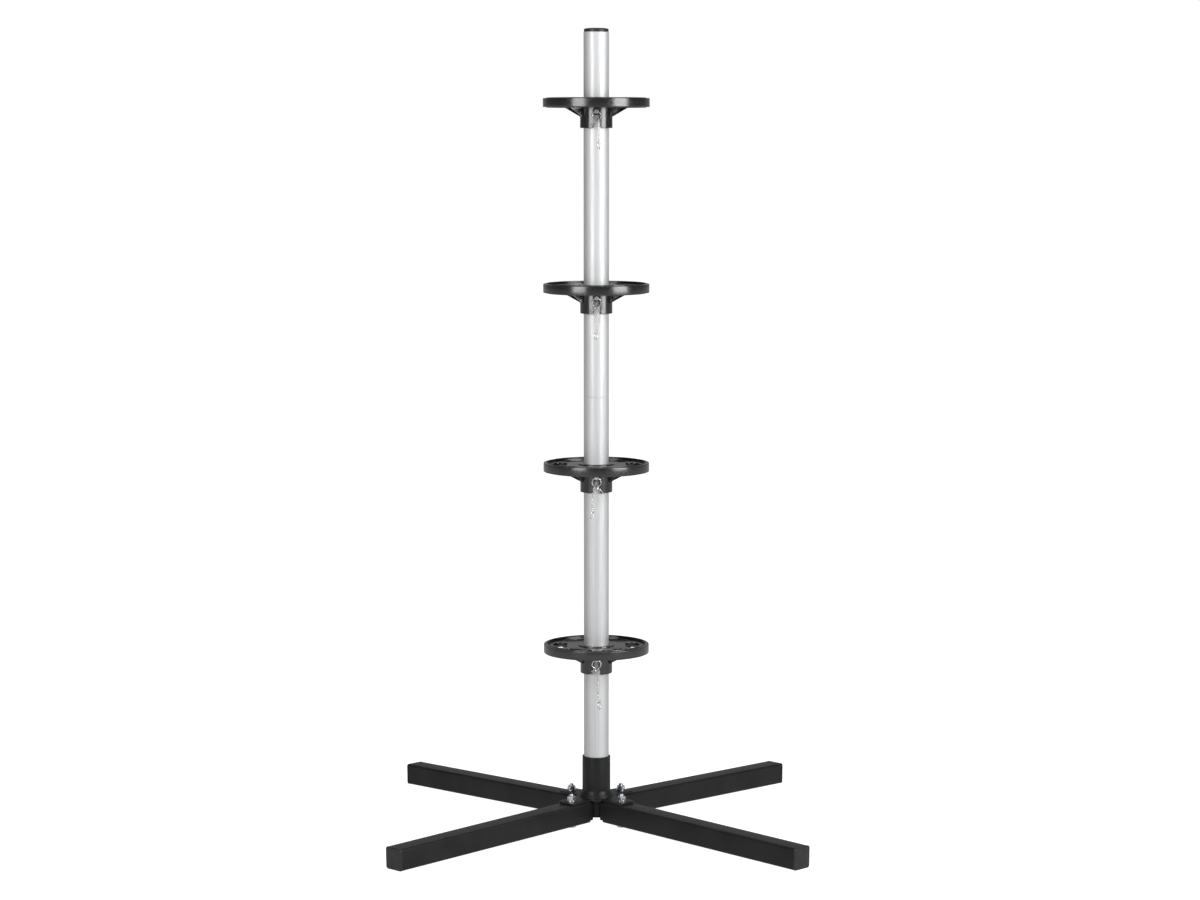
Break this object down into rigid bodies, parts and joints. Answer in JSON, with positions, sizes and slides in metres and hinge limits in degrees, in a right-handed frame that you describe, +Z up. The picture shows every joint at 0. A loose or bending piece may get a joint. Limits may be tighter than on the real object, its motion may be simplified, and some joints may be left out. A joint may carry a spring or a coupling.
{
  "type": "tyre storage rack",
  "caption": "Free-standing wheel tree: a round pole in a cross-legged base carries removable spoked plates, each held by a cross pin, on which wheels are stacked flat.",
  "frame": {"origin": "middle of the footprint on the floor, under the pole's axis", "axes": "+Z up along the pole, -Y towards the front where the pins' rings hang, +X to the right seen from the front"},
  "size_m": [0.53, 0.53, 1.0455],
  "materials": {
    "black_steel": "semi-gloss black powder coat on steel",
    "pole_aluminium": "satin, drawn lengthways",
    "plate_plastic": "black moulded plastic, glossy",
    "cap_plastic": "black moulded plastic, satin",
    "zinc_steel": "bright zinc plate",
    "ring_wire": "bright nickel plate"
  },
  "bodies": {
    "base": {"socket_tube": "black_steel", "socket_floor": "black_steel", "spider_plate": "black_steel", "stub_arms": "black_steel", "leg_rear_right": "black_steel", "leg_rear_left": "black_steel", "leg_front_left": "black_steel", "leg_front_right": "black_steel", "leg_cap_rear_right": "cap_plastic", "leg_cap_rear_left": "cap_plastic", "leg_cap_front_left": "cap_plastic", "leg_cap_front_right": "cap_plastic", "leg_bolts": "zinc_steel", "leg_washers": "zinc_steel", "leg_nuts": "zinc_steel"},
    "pole_lower": {"pole_lower": "pole_aluminium", "joining_sleeve": "pole_aluminium", "sleeve_rivets": "pole_aluminium"},
    "pole_upper": {"pole_upper": "pole_aluminium"},
    "pole_cap": {"pole_cap": "cap_plastic"},
    "plate_1": {"wheel_plate_1": "plate_plastic"},
    "pin_1": {"pin_1": "zinc_steel", "pin_head_1": "cap_plastic"},
    "ring_1": {"pin_ring_1": "ring_wire"},
    "split_ring_1": {"link_ring_1": "ring_wire"},
    "chain_1": {"keeper_chain_1": "ring_wire"},
    "plate_2": {"wheel_plate_2": "plate_plastic"},
    "pin_2": {"pin_2": "zinc_steel", "pin_head_2": "cap_plastic"},
    "ring_2": {"pin_ring_2": "ring_wire"},
    "split_ring_2": {"link_ring_2": "ring_wire"},
    "chain_2": {"keeper_chain_2": "ring_wire"},
    "plate_3": {"wheel_plate_3": "plate_plastic"},
    "pin_3": {"pin_3": "zinc_steel", "pin_head_3": "cap_plastic"},
    "ring_3": {"pin_ring_3": "ring_wire"},
    "split_ring_3": {"link_ring_3": "ring_wire"},
    "chain_3": {"keeper_chain_3": "ring_wire"},
    "plate_4": {"wheel_plate_4": "plate_plastic"},
    "pin_4": {"pin_4": "zinc_steel", "pin_head_4": "cap_plastic"},
    "ring_4": {"pin_ring_4": "ring_wire"},
    "split_ring_4": {"link_ring_4": "ring_wire"},
    "chain_4": {"keeper_chain_4": "ring_wire"}
  },
  "joints": [
    {"name": "pole_lift", "type": "slide", "parent": "base", "child": "pole_lower", "axis": [0, 0, 1], "range_m": [0, 0.08]},
    {"name": "upper_pole_lift", "type": "slide", "parent": "pole_lower", "child": "pole_upper", "axis": [0, 0, 1], "range_m": [0, 0.062]},
    {"name": "pole_cap_pull", "type": "slide", "parent": "pole_upper", "child": "pole_cap", "axis": [0, 0, 1], "range_m": [0, 0.012]},
    {"name": "plate_1_lift", "type": "slide", "parent": "pole_lower", "child": "plate_1", "axis": [0, 0, 1], "range_m": [0, 0.14]},
    {"name": "pin_1_pull", "type": "slide", "parent": "pole_lower", "child": "pin_1", "axis": [0, -1, 0], "range_m": [0, 0.062]},
    {"name": "ring_1_swing", "type": "hinge", "parent": "pin_1", "child": "ring_1", "pos_m": [0, -0.031, 0.2245], "axis": [1, 0, 0], "range_deg": [-90, 8]},
    {"name": "split_ring_1_swing", "type": "hinge", "parent": "ring_1", "child": "split_ring_1", "pos_m": [0, -0.031, 0.213], "axis": [1, 0, 0], "range_deg": [-8, 90]},
    {"name": "chain_1_swing", "type": "hinge", "parent": "ring_1", "child": "chain_1", "pos_m": [0.003, -0.031, 0.21385], "axis": [1, 0, 0], "range_deg": [-8, 90]},
    {"name": "plate_2_lift", "type": "slide", "parent": "pole_lower", "child": "plate_2", "axis": [0, 0, 1], "range_m": [0, 0.14]},
    {"name": "pin_2_pull", "type": "slide", "parent": "pole_lower", "child": "pin_2", "axis": [0, -1, 0], "range_m": [0, 0.062]},
    {"name": "ring_2_swing", "type": "hinge", "parent": "pin_2", "child": "ring_2", "pos_m": [0, -0.031, 0.4645], "axis": [1, 0, 0], "range_deg": [-90, 8]},
    {"name": "split_ring_2_swing", "type": "hinge", "parent": "ring_2", "child": "split_ring_2", "pos_m": [0, -0.031, 0.453], "axis": [1, 0, 0], "range_deg": [-8, 90]},
    {"name": "chain_2_swing", "type": "hinge", "parent": "ring_2", "child": "chain_2", "pos_m": [-0.003, -0.031, 0.45384], "axis": [1, 0, 0], "range_deg": [-8, 90]},
    {"name": "plate_3_lift", "type": "slide", "parent": "pole_upper", "child": "plate_3", "axis": [0, 0, 1], "range_m": [0, 0.14]},
    {"name": "pin_3_pull", "type": "slide", "parent": "pole_upper", "child": "pin_3", "axis": [0, -1, 0], "range_m": [0, 0.062]},
    {"name": "ring_3_swing", "type": "hinge", "parent": "pin_3", "child": "ring_3", "pos_m": [0, -0.031, 0.6985], "axis": [1, 0, 0], "range_deg": [-90, 8]},
    {"name": "split_ring_3_swing", "type": "hinge", "parent": "ring_3", "child": "split_ring_3", "pos_m": [0, -0.031, 0.687], "axis": [1, 0, 0], "range_deg": [-8, 90]},
    {"name": "chain_3_swing", "type": "hinge", "parent": "ring_3", "child": "chain_3", "pos_m": [0.003, -0.031, 0.68785], "axis": [1, 0, 0], "range_deg": [-8, 90]},
    {"name": "plate_4_lift", "type": "slide", "parent": "pole_upper", "child": "plate_4", "axis": [0, 0, 1], "range_m": [0, 0.13]},
    {"name": "pin_4_pull", "type": "slide", "parent": "pole_upper", "child": "pin_4", "axis": [0, -1, 0], "range_m": [0, 0.062]},
    {"name": "ring_4_swing", "type": "hinge", "parent": "pin_4", "child": "ring_4", "pos_m": [0, -0.031, 0.9385], "axis": [1, 0, 0], "range_deg": [-90, 8]},
    {"name": "split_ring_4_swing", "type": "hinge", "parent": "ring_4", "child": "split_ring_4", "pos_m": [0, -0.031, 0.927], "axis": [1, 0, 0], "range_deg": [-8, 90]},
    {"name": "chain_4_swing", "type": "hinge", "parent": "ring_4", "child": "chain_4", "pos_m": [0.003, -0.031, 0.92785], "axis": [1, 0, 0], "range_deg": [-8, 90]}
  ],
  "couplings": [
    {"joint": "split_ring_1_swing", "follows": "ring_1_swing", "ratio": -1},
    {"joint": "chain_1_swing", "follows": "ring_1_swing", "ratio": -1},
    {"joint": "split_ring_2_swing", "follows": "ring_2_swing", "ratio": -1},
    {"joint": "chain_2_swing", "follows": "ring_2_swing", "ratio": -1},
    {"joint": "split_ring_3_swing", "follows": "ring_3_swing", "ratio": -1},
    {"joint": "chain_3_swing", "follows": "ring_3_swing", "ratio": -1},
    {"joint": "split_ring_4_swing", "follows": "ring_4_swing", "ratio": -1},
    {"joint": "chain_4_swing", "follows": "ring_4_swing", "ratio": -1}
  ]
}
